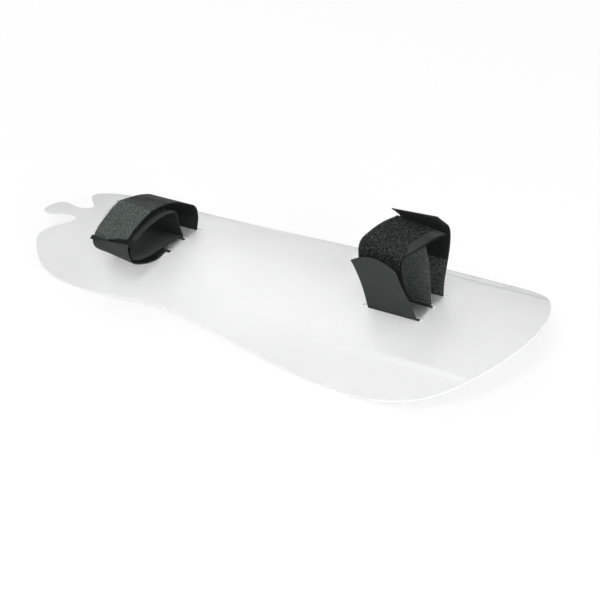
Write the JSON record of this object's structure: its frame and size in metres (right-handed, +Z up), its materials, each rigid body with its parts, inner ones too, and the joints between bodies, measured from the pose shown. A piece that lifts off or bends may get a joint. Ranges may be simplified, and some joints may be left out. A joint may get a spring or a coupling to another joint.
{
  "type": "bicycle mudguard",
  "caption": "Arched translucent plastic splash guard with a waisted outline and a tongue, held under a bicycle's down tube by black hook-and-loop straps through slots.",
  "frame": {"origin": "middle of the part's box, on the surface that it lies on", "axes": "+X from the tongue to the wide end, +Y to the left side, +Z up, on the side of the straps"},
  "size_m": [0.4052, 0.181, 0.0923],
  "materials": {
    "sheet": "frosted translucent polypropylene, smooth",
    "loop_tape": "brushed nylon pile, matt",
    "hook_tape": "woven nylon with a field of small hooks, slight sheen"
  },
  "bodies": {
    "root": {"guard_sheet": "sheet", "wide_strap_loop_tape": "loop_tape", "wide_strap_right_hook_end": "hook_tape", "wide_strap_left_hook_end": "hook_tape", "narrow_strap_loop_tape": "loop_tape", "narrow_strap_right_hook_end": "hook_tape", "narrow_strap_left_hook_end": "hook_tape"}
  },
  "joints": []
}
